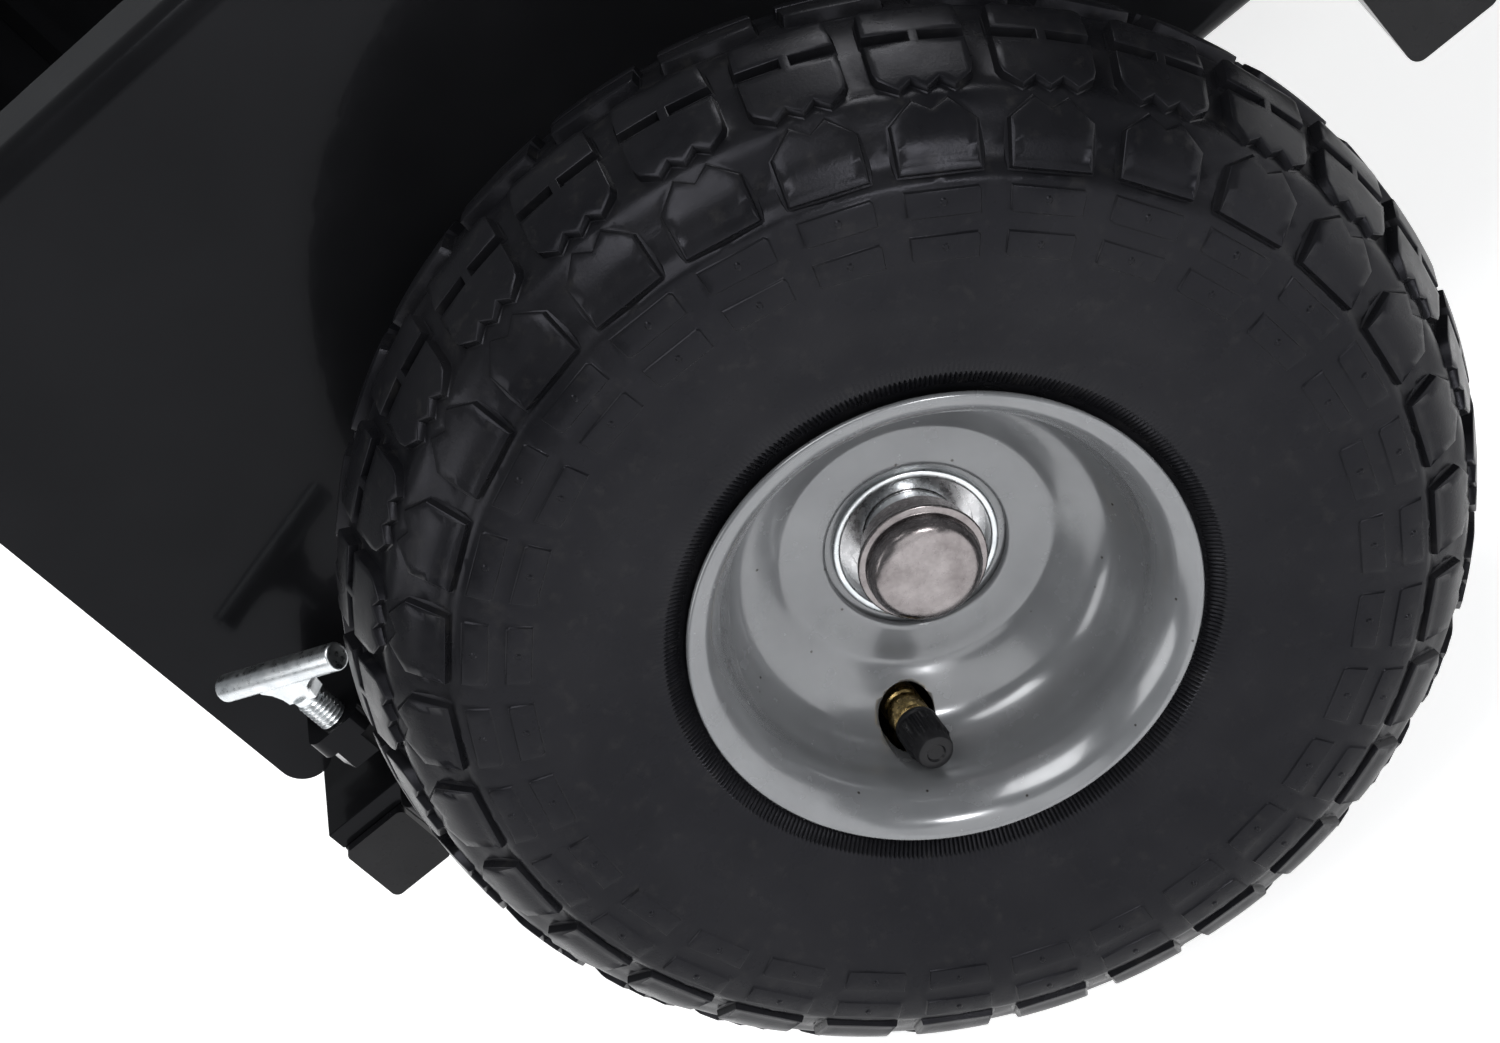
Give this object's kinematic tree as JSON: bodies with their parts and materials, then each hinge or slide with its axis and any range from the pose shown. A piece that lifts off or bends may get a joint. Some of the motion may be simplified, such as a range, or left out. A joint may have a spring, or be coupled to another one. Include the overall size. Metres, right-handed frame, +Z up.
{
  "type": "tow behind cart",
  "caption": "Tipping steel cart bed on two pneumatic wheels, with a braced drawbar, clevis hitch, front latch, lift-out tailgate and T-handle clamp screws.",
  "frame": {"origin": "on the ground, at the middle of the whole cart's length and width", "axes": "+X forward to the hitch, +Y to the left, +Z up"},
  "size_m": [1.326, 0.806, 0.346],
  "materials": {
    "tyre_rubber": "matt black rubber",
    "tube_rubber": "matt black rubber",
    "rim_paint": "gloss light grey paint",
    "zinc_steel": "bright zinc plate",
    "bearing_steel": "ground steel",
    "cap_steel": "scratched pressed steel",
    "valve_brass": "satin brass",
    "black_paint": "gloss black powder coat",
    "black_plastic": "moulded black plastic",
    "bushing_nylon": "natural nylon",
    "grip_rubber": "soft black grip"
  },
  "bodies": {
    "chassis": {"axle": "zinc_steel", "bearing_inner_rings": "bearing_steel", "axle_caps": "cap_steel", "axle_sleeves": "zinc_steel", "pivot_collars": "zinc_steel", "drawbar": "black_paint", "drawbar_plug": "black_plastic", "drawbar_braces": "black_paint", "brace_eyes": "black_paint", "axle_brackets": "black_paint", "rest_pad": "tube_rubber", "latch_bracket": "black_paint", "latch_pin": "zinc_steel", "latch_spring": "bearing_steel", "hitch_clevis": "black_paint", "pin_tab": "black_paint", "pin_clip": "zinc_steel", "parking_stand": "black_paint", "stand_bolts": "zinc_steel"},
    "wheel_right": {"tyre_right": "tyre_rubber", "inner_tube_right": "tube_rubber", "rim_outer_right": "rim_paint", "rim_inner_right": "rim_paint", "hub_right": "zinc_steel", "bearings_right": "bearing_steel", "valve_stem_right": "valve_brass", "valve_cap_right": "black_plastic"},
    "wheel_left": {"tyre_left": "tyre_rubber", "inner_tube_left": "tube_rubber", "rim_outer_left": "rim_paint", "rim_inner_left": "rim_paint", "hub_left": "zinc_steel", "bearings_left": "bearing_steel", "valve_stem_left": "valve_brass", "valve_cap_left": "black_plastic"},
    "latch": {"latch_lever": "black_paint", "latch_grip": "grip_rubber"},
    "pin": {"hitch_pin": "zinc_steel"},
    "bed": {"side_panel_right": "black_paint", "side_panel_left": "black_paint", "floor_panel": "black_paint", "front_panel": "black_paint", "tailgate_channels": "black_paint", "rear_cross_tube": "black_paint", "front_cross_tube": "black_paint", "nose_cross_tube": "black_paint", "tube_end_caps": "black_plastic", "pivot_rails": "black_paint", "pivot_bushings": "bushing_nylon", "clamp_plates": "black_paint", "clamp_tabs": "black_paint", "bed_mounts": "tube_rubber", "latch_striker": "black_paint", "bed_rivets": "zinc_steel"},
    "gate": {"tailgate": "black_paint", "tailgate_handle": "zinc_steel"},
    "screw_rear_right": {"clamp_screw_rear_right": "zinc_steel"},
    "screw_rear_left": {"clamp_screw_rear_left": "zinc_steel"}
  },
  "joints": [
    {"name": "wheel_right_spin", "type": "hinge", "parent": "chassis", "child": "wheel_right", "pos_m": [-0.487, -0.36, 0.131], "axis": [0, 1, 0], "continuous": true},
    {"name": "wheel_left_spin", "type": "hinge", "parent": "chassis", "child": "wheel_left", "pos_m": [-0.487, 0.36, 0.131], "axis": [0, 1, 0], "continuous": true},
    {"name": "bed_dump", "type": "hinge", "parent": "chassis", "child": "bed", "pos_m": [-0.487, 0, 0.131], "axis": [0, -1, 0], "range_deg": [0, 40]},
    {"name": "latch_release", "type": "hinge", "parent": "chassis", "child": "latch", "pos_m": [0.068, 0, 0.118], "axis": [0, 1, 0], "range_deg": [0, 30], "stiffness_Nm_per_rad": 0.6, "springref_deg": -20.05},
    {"name": "hitch_pin_lift", "type": "slide", "parent": "chassis", "child": "pin", "axis": [0, 0, 1], "range_m": [0, 0.09]},
    {"name": "tailgate_lift", "type": "slide", "parent": "bed", "child": "gate", "axis": [0, 0, 1], "range_m": [0, 0.165]},
    {"name": "screw_rear_right_turn", "type": "hinge", "parent": "bed", "child": "screw_rear_right", "pos_m": [-0.6305, -0.3171, 0.17], "axis": [0, 0, 1], "range_deg": [0, 1170]},
    {"name": "screw_rear_left_turn", "type": "hinge", "parent": "bed", "child": "screw_rear_left", "pos_m": [-0.6305, 0.3171, 0.17], "axis": [0, 0, 1], "range_deg": [0, 1170]}
  ]
}
